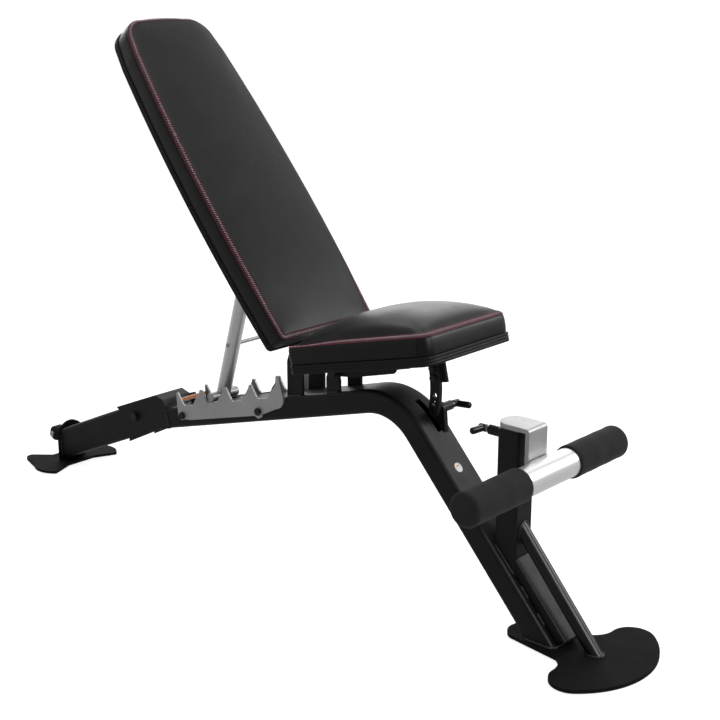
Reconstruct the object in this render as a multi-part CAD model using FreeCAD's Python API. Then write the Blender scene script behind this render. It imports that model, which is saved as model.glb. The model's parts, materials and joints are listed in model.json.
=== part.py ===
import FreeCAD, Part
import math
import os

V = FreeCAD.Vector

# Adjustable weight bench, millimetres, +Z up.  +X runs to the leg holder end,
# the origin lies on the floor under the middle of the bench.

# ---- main beam: one bent tube, rear straight, arch, front leg ----
BEAM_W = 76.0
BEAM_H = 46.0
BEAM_WALL = 3.0
BEAM_CORNER = 8.0
BEAM_RISE = 15.62          # slope of the rear straight, degrees
LEG_FALL = 48.0            # slope of the front leg, degrees
BEND = V(261.6, 0, 250.6)  # centre of the arch
BEND_R = 118.0             # arch centreline radius
BEAM_LEN = 613.0           # rear straight
PLATE_TOP = 10.0           # upper face of the foot plates

# ---- pivots (x, z) ----
FOLD = V(-447, 0, 186)
BACK = V(54, 0, 448)
SEAT = V(148, 0, 405)
SEAT_PIN = V(364, 0, 366)
STRUT_TOP = V(-95, 0, 622)
STRUT_FOOT = V(-197.5, 0, 281.2)

# ---- pads ----
BACK_ANGLE = 50.8          # back pad above horizontal
BACK_FACE = V(108, 0, 479)
BACK_LEN = 726.0
BACK_PAD_T = 37.0
BACK_BOARD_T = 11.0
SEAT_TILT = 13.3
SEAT_FACE = V(119, 0, 465.2)  # rear edge of the seat's upper seam
SEAT_LEN = 330.0
SEAT_PAD_T = 33.0
SEAT_CROWN = 42.0
SEAT_BOARD_T = 17.0
SOFT_GAP = 0.3

# ---- post, leg holder ----
POST_X = (528.0, 573.0)
POST_HALF_Y = 25.0
POST_TOP = 378.0
ROLLER = V(611, 0, 309)
ROLLER_R = 26.5
ROLLER_HALF = 71.0
AXLE_R = 12.5
FOAM_R = 30.5
FOAM_END = 226.5

REAR_TILT = 23.5           # rear leg tube above horizontal
REAR_H = 70.0
REAR_W = 60.0

nodes = {}


def box(x0, x1, y0, y1, z0, z1):
    return Part.makeBox(x1 - x0, y1 - y0, z1 - z0, V(x0, y0, z0))


def cyl(r, p, q):
    axis = q.sub(p)
    return Part.makeCylinder(r, axis.Length, p, axis)


def cyl_y(r, x, z, y0, y1):
    return Part.makeCylinder(r, y1 - y0, V(x, y0, z), V(0, 1, 0))


def ring_y(r_out, r_in, x, z, y0, y1):
    return cyl_y(r_out, x, z, y0, y1).cut(cyl_y(r_in, x, z, y0 - 1, y1 + 1))


def outline(points):
    """Closed wire; an entry ('arc', mid, end) makes a round stretch."""
    first = points[0]
    edges = []
    here = first
    for item in points[1:] + [first]:
        if isinstance(item, tuple):
            edges.append(Part.Arc(here, item[1], item[2]).toShape())
            here = item[2]
        elif here.distanceToPoint(item) > 1e-6:
            edges.append(Part.LineSegment(here, item).toShape())
            here = item
    return Part.Wire(edges)


def slab(points, along):
    return Part.Face(outline(points)).extrude(along)


def xz(points):
    out = []
    for item in points:
        if isinstance(item[0], tuple):
            out.append((0, V(item[0][0], 0, item[0][1]), V(item[1][0], 0, item[1][1])))
        else:
            out.append(V(item[0], 0, item[1]))
    return out


def plate_xz(points, y0, y1):
    shape = slab(xz(points), V(0, y1 - y0, 0))
    shape.translate(V(0, y0, 0))
    return shape


def rounded_rect(w, h, r):
    """Wire in the YZ plane at x = 0, centred on the origin."""
    a = w / 2.0
    b = h / 2.0
    c = r * (1 - math.sqrt(0.5))
    pts = [V(0, -a + r, -b), V(0, a - r, -b)]
    pts.append((0, V(0, a - c, -b + c), V(0, a, -b + r)))
    pts.append(V(0, a, b - r))
    pts.append((0, V(0, a - c, b - c), V(0, a - r, b)))
    pts.append(V(0, -a + r, b))
    pts.append((0, V(0, -a + c, b - c), V(0, -a, b - r)))
    pts.append(V(0, -a, -b + r))
    pts.append((0, V(0, -a + c, -b + c), V(0, -a + r, -b)))
    return outline(pts)


def place(shape, base, tilt):
    """Turn by tilt degrees nose-up about Y, then move to base."""
    out = shape.copy()
    out.rotate(V(0, 0, 0), V(0, 1, 0), -tilt)
    out.translate(base)
    return out


def bar_x(w, h, r, length):
    return Part.Face(rounded_rect(w, h, r)).extrude(V(length, 0, 0))


def tube_x(w, h, r, wall, length):
    inner = bar_x(w - 2 * wall, h - 2 * wall, max(r - wall, 1.0), length + 2)
    inner.translate(V(-1, 0, 0))
    return bar_x(w, h, r, length).cut(inner)


def polar(centre, radius, degrees):
    a = math.radians(degrees)
    return V(centre.x + radius * math.cos(a), centre.y, centre.z + radius * math.sin(a))


def hexagon_y(x, z, r, y0, y1):
    pts = [(x + r * math.cos(math.radians(60 * i)), z + r * math.sin(math.radians(60 * i)))
           for i in range(6)]
    return plate_xz(pts, y0, y1)


def put(name, shape):
    nodes[name] = shape.removeSplitter() if len(shape.Solids) == 1 else shape


# =============== main beam ===============
ARC_FROM = 90 + BEAM_RISE
ARC_TO = 90 - LEG_FALL
BEND_IN = polar(BEND, BEND_R, ARC_FROM)
BEND_OUT = polar(BEND, BEND_R, ARC_TO)
BEAM_DIR = V(math.cos(math.radians(BEAM_RISE)), 0, math.sin(math.radians(BEAM_RISE)))
BEAM_UP = V(-BEAM_DIR.z, 0, BEAM_DIR.x)
BEAM_START = BEND_IN.sub(BEAM_DIR * BEAM_LEN)
LEG_DIR = V(math.cos(math.radians(LEG_FALL)), 0, -math.sin(math.radians(LEG_FALL)))
LEG_UP = V(-LEG_DIR.z, 0, LEG_DIR.x)
LEG_LEN = 470.0


def on_beam(s, n, y=0.0):
    """Point s along the rear straight from its rear end, n above its lower face."""
    return BEAM_START + BEAM_DIR * s + BEAM_UP * (n - BEAM_H / 2) + V(0, y, 0)


def on_leg(s, n, y=0.0):
    return BEND_OUT + LEG_DIR * s + LEG_UP * (n - BEAM_H / 2) + V(0, y, 0)


def bent(w, h, r, extra):
    straight = place(bar_x(w, h, r, BEAM_LEN + extra), BEAM_START.sub(BEAM_DIR * extra), BEAM_RISE)
    face = Part.Face(rounded_rect(w, h, r))
    face = place(face, BEND_IN, BEAM_RISE)
    arch = face.revolve(BEND, V(0, 1, 0), BEAM_RISE + LEG_FALL)
    leg = place(bar_x(w, h, r, LEG_LEN + extra), BEND_OUT, -LEG_FALL)
    return straight.fuse([arch, leg]).removeSplitter()


SLOT_W = 14.0
beam = bent(BEAM_W, BEAM_H, BEAM_CORNER, 0)
beam = beam.cut(bent(BEAM_W - 2 * BEAM_WALL, BEAM_H - 2 * BEAM_WALL, BEAM_CORNER - BEAM_WALL, 5))
beam = beam.cut(box(0, 900, -60, 60, -300, PLATE_TOP))
SECTOR_Y = 6.0
# slot in the arch that lets the seat's sector bar dip into the tube
slot = box(322, 379, SECTOR_Y - SLOT_W / 2, SECTOR_Y + SLOT_W / 2, 329, 400)
beam = beam.cut(slot)

# =============== hinge sleeve behind the beam ===============
SLEEVE_W = BEAM_W
SLEEVE_WALL = 5.0
SLEEVE_TOP = 22.4


def sleeve_top(x):
    return 193.0 + math.tan(math.radians(SLEEVE_TOP)) * (x + 514)


END_TOP = on_beam(24, BEAM_H)
END_LOW = on_beam(24, 0)
side = [(-514, sleeve_top(-514)), (-376, sleeve_top(-376)), (-352, sleeve_top(-376) - 6),
        (END_TOP.x, END_TOP.z), (END_LOW.x, END_LOW.z), (-361, 176), (-473, 121),
        ((-480, 160), (-514, sleeve_top(-514)))]
outer = plate_xz(side, -SLEEVE_W / 2, SLEEVE_W / 2)
CAVITY_END = -373.0
inside = [(-530, 60), (-530, sleeve_top(-530) - SLEEVE_WALL),
          (CAVITY_END, sleeve_top(CAVITY_END) - SLEEVE_WALL), (CAVITY_END, 60)]
sleeve = outer.cut(plate_xz(inside, -SLEEVE_W / 2 + SLEEVE_WALL, SLEEVE_W / 2 - SLEEVE_WALL))
# pocket that the beam's rear end is welded into
sleeve = sleeve.cut(place(bar_x(BEAM_W, BEAM_H, BEAM_CORNER, 60), BEAM_START, BEAM_RISE))
FOLD_BOLT_R = 6.0
FOLD_PIN = polar(FOLD, 52, 180 + REAR_TILT)
sleeve = sleeve.cut(cyl_y(FOLD_BOLT_R, FOLD.x, FOLD.z, -60, 60))
sleeve = sleeve.cut(cyl_y(5.06, FOLD_PIN.x, FOLD_PIN.z, 0, 60))
put("hinge_sleeve", sleeve)

# =============== rear leg ===============
REAR_LEN = 392.0
rear = tube_x(REAR_W, REAR_H, 8, 2.5, REAR_LEN)
rear.translate(V(-REAR_LEN, 0, -8.0))
head = bar_x(REAR_W, REAR_H, 8, 40)
head.translate(V(0, 0, -8.0))
head = head.common(cyl_y(26.9, 0, 0, -60, 60))
head = head.common(box(0, 60, -60, 60, -60, 60))
rear = rear.fuse(head)
rear = rear.fuse(cyl_y(12, 0, 0, -REAR_W / 2, REAR_W / 2)).removeSplitter()
rear = rear.cut(cyl_y(FOLD_BOLT_R + 0.05, 0, 0, -60, 60))
rear = rear.cut(cyl_y(5.06, -52, 0, 0, 60))
rear = place(rear, FOLD, REAR_TILT)
REAR_PLATE_X = -744.0
rear = rear.cut(box(-1000, REAR_PLATE_X, -60, 60, -100, 400))
rear = rear.cut(box(-1000, 0, -60, 60, -100, PLATE_TOP + 4))
put("rear_leg_tube", rear)

RUBBER = 3.0
FOOT_T = 6.0
# rear foot: a flange on the floor with swept wings, bent up into the tube's end plate
wing = [V(-790, -25, 0), V(-829, -58, 0), (0, V(-828, -71, 0), V(-818, -80, 0)), V(-761, -98, 0),
        (0, V(-712, -103, 0), V(-689, -88, 0)), V(-711, -36, 0), V(-711, 36, 0), V(-689, 88, 0),
        (0, V(-712, 103, 0), V(-761, 98, 0)), V(-818, 80, 0), (0, V(-828, 71, 0), V(-829, 58, 0)),
        V(-790, 25, 0)]
flange = slab(wing, V(0, 0, FOOT_T))
flange.translate(V(0, 0, RUBBER))
upright = Part.Face(outline([V(0, -36, 0), V(0, -36, 62), (0, V(0, 0, 98), V(0, 36, 62)), V(0, 36, 0)]))
upright = upright.extrude(V(FOOT_T, 0, 0))
upright.translate(V(REAR_PLATE_X - FOOT_T, 0, RUBBER))
AXLE_X = -768.0
AXLE_Z = 70.0
WHEEL_R = 17.5
ear = plate_xz([(REAR_PLATE_X - FOOT_T, AXLE_Z - 16), (REAR_PLATE_X - FOOT_T, AXLE_Z + 16),
                (AXLE_X, AXLE_Z + 9), ((AXLE_X - 9, AXLE_Z), (AXLE_X, AXLE_Z - 9))], -5, 5)
foot = flange.fuse([upright, ear]).removeSplitter()
foot = foot.cut(cyl_y(4.0, AXLE_X, AXLE_Z, -40, 40))
put("rear_foot_plate", foot)
pads = []
for side_y in (-1, 1):
    pads.append(Part.makeCylinder(11, RUBBER, V(-712, side_y * 80, 0)))
    pads.append(Part.makeCylinder(9, RUBBER, V(-806, side_y * 64, 0)))
put("rear_rubber_feet", Part.makeCompound(pads))
put("wheel_axle", cyl_y(4.0, AXLE_X, AXLE_Z, -38, 38).fuse([
    cyl_y(6.5, AXLE_X, AXLE_Z, -40.5, -38), cyl_y(6.5, AXLE_X, AXLE_Z, 38, 40.5)]))
for name, lo in (("transport_wheel_left", 9), ("transport_wheel_right", -33)):
    wheel = ring_y(WHEEL_R, 4.06, AXLE_X, AXLE_Z, lo, lo + 24)
    rims = [e for e in wheel.Edges if e.BoundBox.XLength > 2 * WHEEL_R - 0.1 and e.BoundBox.YLength < 0.01]
    put(name, wheel.makeFillet(3.5, rims))

washers = [ring_y(14, FOLD_BOLT_R, FOLD.x, FOLD.z, lo, lo + 2.9) for lo in (-32.95, 30.05)]
put("fold_washers", Part.makeCompound(washers))
bolt = cyl_y(FOLD_BOLT_R, FOLD.x, FOLD.z, -38, 46).fuse(hexagon_y(FOLD.x, FOLD.z, 11, -45, -38))
put("fold_pivot_bolt", bolt)
put("fold_pivot_nut", hexagon_y(FOLD.x, FOLD.z, 11, 38, 47).cut(cyl_y(FOLD_BOLT_R, FOLD.x, FOLD.z, 0, 60)))

# =============== ladder plates ===============
LADDER_Y = BEAM_W / 2
LADDER_T = 4.5
NOTCH = 47.5


def ladder(x_off):
    s0 = 26.0
    pts = []

    def add(s, n):
        p = on_beam(s + x_off, n)
        pts.append((p.x, p.z))

    def bend(s1, n1, s2, n2):
        p = on_beam(s1 + x_off, n1)
        q = on_beam(s2 + x_off, n2)
        pts.append(((p.x, p.z), (q.x, q.z)))
    add(s0 + 8, 19)
    bend(s0 - 5, 20, s0 - 8, 32)
    add(s0 - 4, 56)
    add(s0, 73)
    bend(s0 + 3, 77, s0 + 6, 73)
    for k in range(4):
        t = s0 + 78 * k
        add(t + 14, 54)
        bend(t + 18, 48.2, t + 25, NOTCH)
        add(t + 42, NOTCH)
        bend(t + 49, 49, t + 54, 55)
        if k < 3:
            add(t + 73, 69)
            add(t + 77, 75)
            bend(t + 81, 78, t + 85, 73)
        else:
            add(t + 76, 70)
            add(t + 82, 84)
            bend(t + 88, 90, t + 93, 85)
    add(s0 + 325, 74)
    add(s0 + 326, 44)
    bend(s0 + 318, 30, s0 + 300, 24)
    add(s0 + 254, 15)
    bend(s0 + 244, 8, s0 + 234, 14)
    add(s0 + 30, 16)
    return pts


LADDER_OFF = 52.0
LADDER_BOLTS = [(32.0, 27.0), (273.0, 22.0)]
for name, y0 in (("ladder_plate_left", LADDER_Y), ("ladder_plate_right", -LADDER_Y - LADDER_T)):
    plate = plate_xz(ladder(LADDER_OFF), y0, y0 + LADDER_T)
    for s, n in LADDER_BOLTS:
        p = on_beam(s + LADDER_OFF, n)
        plate = plate.cut(cyl_y(4.0, p.x, p.z, -60, 60))
    put(name, plate)
bolts = []
for s, n in LADDER_BOLTS:
    p = on_beam(s + LADDER_OFF, n)
    beam = beam.cut(cyl_y(4.0, p.x, p.z, -60, 60))
    sleeve_bolt = cyl_y(4.0, p.x, p.z, -LADDER_Y - LADDER_T, LADDER_Y + LADDER_T)
    for s_y in (-1, 1):
        a = s_y * (LADDER_Y + LADDER_T)
        head = hexagon_y(p.x, p.z, 8.0, min(a, a + s_y * 5.5), max(a, a + s_y * 5.5))
        sleeve_bolt = sleeve_bolt.fuse(head)
    bolts.append(sleeve_bolt)
put("ladder_bolts", Part.makeCompound(bolts))
nodes["hinge_sleeve"] = nodes["hinge_sleeve"].cut(Part.makeCompound(bolts))

# round rubber stop on top of the beam, between the ladder plates
STOP = on_beam(LADDER_OFF + 8, BEAM_H, 14)
put("strut_stop", cyl(6, STOP, STOP + BEAM_UP * 16).fuse(cyl(8.5, STOP + BEAM_UP * 11, STOP + BEAM_UP * 20)))

# flat bar that ties the two rear teeth together
tie = [on_beam(s, n) for s, n in ((75, 55), (81, 55), (81, 63), (75, 63))]
put("ladder_tie_bar", plate_xz([(p.x, p.z) for p in tie], -LADDER_Y, LADDER_Y))

# =============== pivot plates standing on the beam ===============
PLATE_Y = 27.0
PLATE_T = 6.0
PIVOT_R = 6.0
ARM_Y = 34.0
ARM_T = 10.0


def beam_top_z(x):
    p = on_beam(0, BEAM_H)
    return p.z + math.tan(math.radians(BEAM_RISE)) * (x - p.x)


def pivot_plate(pivot, x0, x1, head_r, shoulder, y0):
    left = pivot.x - head_r
    right = pivot.x + head_r
    pts = [(x0, beam_top_z(x0)), (x0, pivot.z - shoulder), (left, pivot.z),
           ((pivot.x, pivot.z + head_r), (right, pivot.z)), (x1, pivot.z - 14), (x1, beam_top_z(x1))]
    return plate_xz(pts, y0, y0 + PLATE_T).cut(cyl_y(PIVOT_R + 0.05, pivot.x, pivot.z, -60, 60))


for name, pivot, x0, x1, shoulder in (("back_pivot_plates", BACK, 26, 67, 45),
                                     ("seat_pivot_plates", SEAT, 131, 165, 14)):
    pair = [pivot_plate(pivot, x0, x1, 12.5, shoulder, y0) for y0 in (-PLATE_Y - PLATE_T, PLATE_Y)]
    put(name, Part.makeCompound(pair))


def pivot_pin(pivot, half):
    pin = cyl_y(PIVOT_R, pivot.x, pivot.z, -half, half)
    return pin.fuse([cyl_y(9.5, pivot.x, pivot.z, half, half + 4), cyl_y(9.5, pivot.x, pivot.z,
            -half - 4, -half)])


put("back_pivot_pin", pivot_pin(BACK, ARM_Y + ARM_T + 0.6))
put("seat_pivot_pin", pivot_pin(SEAT, PLATE_Y + PLATE_T + 0.6))

# =============== front leg parts ===============
stem = [V(561, 0, 0), (0, V(566, -30, 0), V(580, -40, 0)), V(684, -54, 0),
        (0, V(699, -68, 0), V(706, -94, 0)), (0, V(727, -131, 0), V(768, -128, 0)),
        (0, V(829, 0, 0), V(768, 128, 0)), (0, V(727, 131, 0), V(706, 94, 0)),
        (0, V(699, 68, 0), V(684, 54, 0)), V(580, 40, 0), (0, V(566, 30, 0), V(561, 0, 0))]
plate = slab(stem, V(0, 0, PLATE_TOP - RUBBER))
plate.translate(V(0, 0, RUBBER))
put("front_foot_plate", plate)
pads = [Part.makeCylinder(12, RUBBER, V(x, y, 0)) for x, y in ((740, -104), (740, 104), (590, 0))]
put("front_rubber_feet", Part.makeCompound(pads))

# post that guides the leg holder, welded on the leg's upper face
post = box(POST_X[0], POST_X[1], -POST_HALF_Y, POST_HALF_Y, 60, POST_TOP)
verticals = [e for e in post.Edges if e.BoundBox.ZLength > 200]
post = post.makeFillet(5, verticals)
post = post.cut(box(POST_X[0] + 3, POST_X[1] - 3, -POST_HALF_Y + 3, POST_HALF_Y - 3, 0, POST_TOP + 5))
below = place(bar_x(200, 400, 1, 900), BEND_OUT.sub(LEG_DIR * 200) + LEG_UP * (BEAM_H / 2 - 200), -LEG_FALL)
post = post.cut(below)
LEG_PIN = V(POST_X[0], 0, 362)
post = post.cut(Part.makeCylinder(9, 8, LEG_PIN - V(1, 0, 0), V(1, 0, 0)))
put("leg_holder_post", post)

# narrower tube laid on the leg below the post
stiff = bar_x(46, 20, 4, 260).cut(bar_x(40, 14, 2, 262))
stiff = place(stiff, BEND_OUT + LEG_DIR * 190 + LEG_UP * (BEAM_H / 2 + 10), -LEG_FALL)
stiff = stiff.cut(box(0, POST_X[1], -60, 60, 0, 400)).cut(box(0, 900, -60, 60, -300, PLATE_TOP))
put("leg_stiffener", max(stiff.Solids, key=lambda s: s.Volume))

BRACE_R = 12.7
BRACE_TOP = V(POST_X[1] - 12, 0, 206)
BRACE_LOW = V(742, 0, -6)
brace = cyl(BRACE_R, BRACE_TOP, BRACE_LOW).cut(cyl(BRACE_R - 2.5, BRACE_TOP, BRACE_LOW))
brace = brace.cut(box(500, POST_X[1], -60, 60, 0, 400)).cut(box(500, 900, -60, 60, -300, PLATE_TOP))
put("front_brace_tube", brace)

BUMP = on_leg(14, 0, -10)
put("leg_bumper", cyl(11, BUMP, BUMP - LEG_UP * 9).fuse(cyl(5, BUMP - LEG_UP * 9, BUMP - LEG_UP * 13)))
put("main_beam", beam)

# =============== seat pop-pin ===============
PIN_R = 5.0
RUN = 0.05
GRIP_ARM = 32.0


def rounded_rod(r, p, q, edge):
    rod = cyl(r, p, q)
    far = [e for e in rod.Edges if len(e.Vertexes) == 1 and e.Vertexes[0].Point.distanceToPoint(q) < r + 1]
    return rod.makeFillet(edge, far)


# every pin stands drawn out at rest and slides in by PIN_TRAVEL to lock
PIN_TRAVEL = 7.5


def pull_pin(prefix, tip, axis, barrel_at, barrel_len, knob_dir):
    """Barrel, plunger with collar, spring and L grip along axis; tip is the plunger's end."""
    b0 = tip + axis * barrel_at
    barrel = cyl(9, b0, b0 + axis * barrel_len)
    barrel = barrel.cut(cyl(PIN_R + RUN, b0 - axis, b0 + axis * (barrel_len + 1)))
    barrel = barrel.cut(cyl(7.2, b0 + axis * 4, b0 + axis * (barrel_len - 4)))
    collar = cyl(6.9, b0 + axis * (4.2 + PIN_TRAVEL), b0 + axis * (7 + PIN_TRAVEL))
    end = b0 + axis * (barrel_len + 14)
    plunger = cyl(PIN_R, tip, end).fuse(collar)
    # the spring's envelope: a thin sleeve with a rib for each turn
    s0 = b0 + axis * (8.5 + PIN_TRAVEL)
    spring = cyl(5.9, s0, s0 + axis * 8)
    for k in range(3):
        spring = spring.fuse(cyl(6.6, s0 + axis * (0.6 + 2.8 * k), s0 + axis * (1.8 + 2.8 * k)))
    spring = spring.cut(cyl(5.4, s0 - axis, s0 + axis * 9))
    grip = rounded_rod(7, end - axis * 6, end + axis * 9, 3)
    arm = rounded_rod(6.4, end, end + knob_dir * GRIP_ARM, 5)
    grip = grip.fuse(arm).cut(cyl(PIN_R, end - axis * 7, end))
    put(prefix + "_barrel", barrel)
    put(prefix + "_plunger", plunger)
    put(prefix + "_spring", spring)
    put(prefix + "_grip", grip)


# small stand on the arch that carries the barrel beside the sector bar
HOUSE_Y = SECTOR_Y + 8.0
stand = plate_xz([(346, 340), (346, 366), ((352, 376), (364, 380)), ((376, 376), (380, 364)), (384, 318)],
                 HOUSE_Y, HOUSE_Y + 10)
stand = stand.cut(bent(BEAM_W, BEAM_H, BEAM_CORNER, 0)).cut(cyl_y(9.0, SEAT_PIN.x, SEAT_PIN.z, 0, 60))
stand = max(stand.Solids, key=lambda s: s.Volume)
put("seat_pin_stand", stand)
pull_pin("seat_pin", V(SEAT_PIN.x, SECTOR_Y + 4.3, SEAT_PIN.z), V(0, 1, 0), 3.7, 40, V(0.97, 0.24, 0))
pull_pin("leg_pin", V(POST_X[0] + 2.7, 0, LEG_PIN.z), V(-1, 0, 0), 0.7, 36, V(-0.1, -0.995, 0))
pull_pin("fold_pin", V(FOLD_PIN.x, REAR_W / 2 + 0.4, FOLD_PIN.z), V(0, 1, 0), 7.6, 34, V(0, 0, -1))

# =============== seat group ===============


def seat_place(shape):
    return place(shape, SEAT_FACE, SEAT_TILT)


def seat_outline(grow, z):
    """Seat plan: gently tapered, round corners, straight rear edge."""
    rear = 127.0 + grow
    front = 118.0 + grow
    x0 = -grow * 0.3
    x1 = SEAT_LEN + grow
    r = 20.0
    c = r * 0.3
    pts = [V(x0, -rear + 10, z), (0, V(x0 + 3, -rear + 3, z), V(x0 + 10, -rear, z)), V(x1 - r, -front, z),
           (0, V(x1 - c, -front + c, z), V(x1, -front + r, z)), V(x1, front - r, z),
           (0, V(x1 - c, front - c, z), V(x1 - r, front, z)), V(x0 + 10, rear, z),
           (0, V(x0 + 3, rear - 3, z), V(x0, rear - 10, z))]
    return pts


board = slab(seat_outline(2.5, -SEAT_PAD_T - SEAT_BOARD_T), V(0, 0, SEAT_BOARD_T - SOFT_GAP))
hollow = slab(seat_outline(-6, -SEAT_PAD_T - SEAT_BOARD_T), V(0, 0, 7))
board = board.cut(hollow)
seat_pad = slab(seat_outline(0, -SEAT_PAD_T), V(0, 0, SEAT_PAD_T + SEAT_CROWN + 20))
cap = Part.makeCylinder(480, 400, V(185, -200, SEAT_CROWN - 478.5), V(0, 1, 0))
dome = Part.makeCylinder(213, 900, V(-200, 0, SEAT_CROWN - 213), V(1, 0, 0))
seat_pad = seat_pad.common(cap).common(dome)
# rolled rear edge, which leaves room for the upright back pad
seat_pad = seat_pad.cut(plate_xz([(-10, -7), (-10, 90), (100, 90), (100, 81)], -200, 200))

# channel under the board, with cheeks that reach down to the pivot
RAIL_Y = 20.0
RAIL_T = 5.0
RAIL_TOP = -SEAT_PAD_T - SEAT_BOARD_T + 7
rail_pts = [(3.0, RAIL_TOP), (3.0, -65), ((15, -78.2), (24, -76)), (60, -79), (160, -76), (168, -69),
            (215, -62), (258, -62), (258, RAIL_TOP)]
rails = []
for y0 in (-RAIL_Y - RAIL_T, RAIL_Y):
    rails.append(seat_place(plate_xz(rail_pts, y0, y0 + RAIL_T)))
web = seat_place(box(40, 252, -RAIL_Y - RAIL_T, RAIL_Y + RAIL_T, RAIL_TOP - 4, RAIL_TOP))
frame = rails[0].fuse([rails[1], web])
front_plate = seat_place(box(222, 254, SECTOR_Y + 4, SECTOR_Y + 9, -102, RAIL_TOP))
frame = frame.fuse(front_plate)
boss = cyl_y(12, SEAT.x, SEAT.z, -PLATE_Y + 0.6, PLATE_Y - 0.6)
frame = frame.fuse(boss)
frame = frame.cut(cyl_y(PIVOT_R + 0.05, SEAT.x, SEAT.z, -60, 60))
board_s = seat_place(board)
pad_s = seat_place(seat_pad)

# sector bar: arc about the seat pivot with pin holes
ARC_R = SEAT.distanceToPoint(SEAT_PIN)
PIN_ANGLE = math.degrees(math.atan2(SEAT_PIN.z - SEAT.z, SEAT_PIN.x - SEAT.x))
SECTOR_STEP = 4.0
SECTOR_TOP = 13.5
BAR_HALF = 11.0
lo_a = PIN_ANGLE
p_in = polar(SEAT, ARC_R - BAR_HALF, lo_a)
p_out = polar(SEAT, ARC_R + BAR_HALF, lo_a)
p_mid_out = polar(SEAT, ARC_R + BAR_HALF, (lo_a + SECTOR_TOP) / 2)
p_top_out = polar(SEAT, ARC_R + BAR_HALF, SECTOR_TOP)
p_top_in = polar(SEAT, ARC_R - BAR_HALF, SECTOR_TOP)
p_mid_in = polar(SEAT, ARC_R - BAR_HALF, (lo_a + SECTOR_TOP) / 2)
tip = polar(SEAT, ARC_R, lo_a - math.degrees(BAR_HALF / ARC_R))
bar_wire = [p_in, (0, tip, p_out), (0, p_mid_out, p_top_out), p_top_in, (0, p_mid_in, p_in)]
sector = slab(bar_wire, V(0, 8, 0))
sector.translate(V(0, SECTOR_Y - 4, 0))
for k in range(3):
    p = polar(SEAT, ARC_R, lo_a + k * SECTOR_STEP)
    sector = sector.cut(cyl_y(PIN_R + 0.08, p.x, p.z, -40, 40))
SECTOR_BOLTS = [polar(SEAT, ARC_R - 2, 6.2), polar(SEAT, ARC_R - 2, 11.0)]
for p in SECTOR_BOLTS:
    sector = sector.cut(cyl_y(3.0, p.x, p.z, -40, 40))
    frame = frame.cut(cyl_y(3.0, p.x, p.z, 0, 16))
put("seat_sector_bar", sector)
fix = []
for p in SECTOR_BOLTS:
    fix.append(cyl_y(3.0, p.x, p.z, SECTOR_Y - 4, SECTOR_Y + 9).fuse(
        [cyl_y(6.5, p.x, p.z, SECTOR_Y - 8.5, SECTOR_Y - 4), cyl_y(6.5, p.x, p.z, SECTOR_Y + 9,
                SECTOR_Y + 14)]))
put("sector_bolts", Part.makeCompound(fix))
frame = frame.cut(Part.makeCompound(fix)).cut(sector)
put("seat_frame", frame)

put("seat_board", board_s)
put("seat_pad", pad_s)

# =============== back group ===============


def back_place(shape):
    """Local x runs up the pad, local z out of its face."""
    out = shape.copy()
    out.rotate(V(0, 0, 0), V(0, 0, 1), 180)
    out.rotate(V(0, 0, 0), V(0, 1, 0), BACK_ANGLE)
    out.translate(BACK_FACE)
    return out


def back_outline(grow, z):
    low = 126.0 + grow
    wide = 134.0 + grow
    top = 108.0 + grow
    x1 = BACK_LEN + grow
    x0 = -grow * 0.3
    pts = [V(x0, -low + 12, z), (0, V(x0 + 3, -low + 3, z), V(x0 + 12, -low, z)),
           (0, V(300, -wide, z), V(640, -top - 8, z)), V(x1 - 42, -top, z),
           (0, V(x1 - 13, -top + 18, z), V(x1 - 3, -top + 52, z)),
           (0, V(x1, 0, z), V(x1 - 3, top - 52, z)), (0, V(x1 - 13, top - 18, z), V(x1 - 42, top, z)),
           V(640, top + 8, z), (0, V(300, wide, z), V(x0 + 12, low, z)), (0, V(x0 + 3, low - 3, z),
                   V(x0, low - 12, z))]
    return pts


BACK_CROWN = 8.0
back_pad = slab(back_outline(0, -BACK_PAD_T), V(0, 0, BACK_PAD_T + BACK_CROWN + 10))
dome = Part.makeCylinder(1300, 1200, V(-200, 0, BACK_CROWN - 1300), V(1, 0, 0))
back_pad = back_pad.common(dome)
back_pad = back_pad.cut(plate_xz([(-10, -2), (-10, 40), (60, 40), (60, 15.5)], -200, 200))
back_board = slab(back_outline(2.5, -BACK_PAD_T - BACK_BOARD_T), V(0, 0, BACK_BOARD_T - SOFT_GAP))

BOARD_LOW = -BACK_PAD_T - BACK_BOARD_T
# two long rails, cross plates, arms to the back pivot and lugs for the strut
RAIL_IN = 44.0
RAIL_W = 25.0
RAIL_H = 30.0
tubes = []
for y0 in (-RAIL_IN - RAIL_W, RAIL_IN):
    tube = box(30, 470, y0, y0 + RAIL_W, BOARD_LOW - RAIL_H, BOARD_LOW)
    tubes.append(tube.cut(box(33, 467, y0 + 2.5, y0 + RAIL_W - 2.5, BOARD_LOW - RAIL_H + 2.5, BOARD_LOW - 2.5)))
for x, w in ((120.0, 40.0), (200.0, 70.0), (425.0, 40.0)):
    tubes.append(box(x, x + w, -RAIL_IN, RAIL_IN, BOARD_LOW - 3, BOARD_LOW))
back_frame = back_place(tubes[0].fuse(tubes[1:]))
ARM_R = 13.0
ARM_AT = V(10.1, 0, -61.4)   # the pivot seen in the pad's own directions
for y0 in (ARM_Y, -ARM_Y - ARM_T):
    arm = box(ARM_AT.x, 70, y0, y0 + ARM_T, BOARD_LOW - RAIL_H + 2, BOARD_LOW)
    arm = arm.fuse(cyl(ARM_R, V(ARM_AT.x, y0, ARM_AT.z), V(ARM_AT.x, y0 + ARM_T, ARM_AT.z)))
    back_frame = back_frame.fuse(back_place(arm))
LUG_Y = 30.0
LUG_T = 6.0
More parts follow.
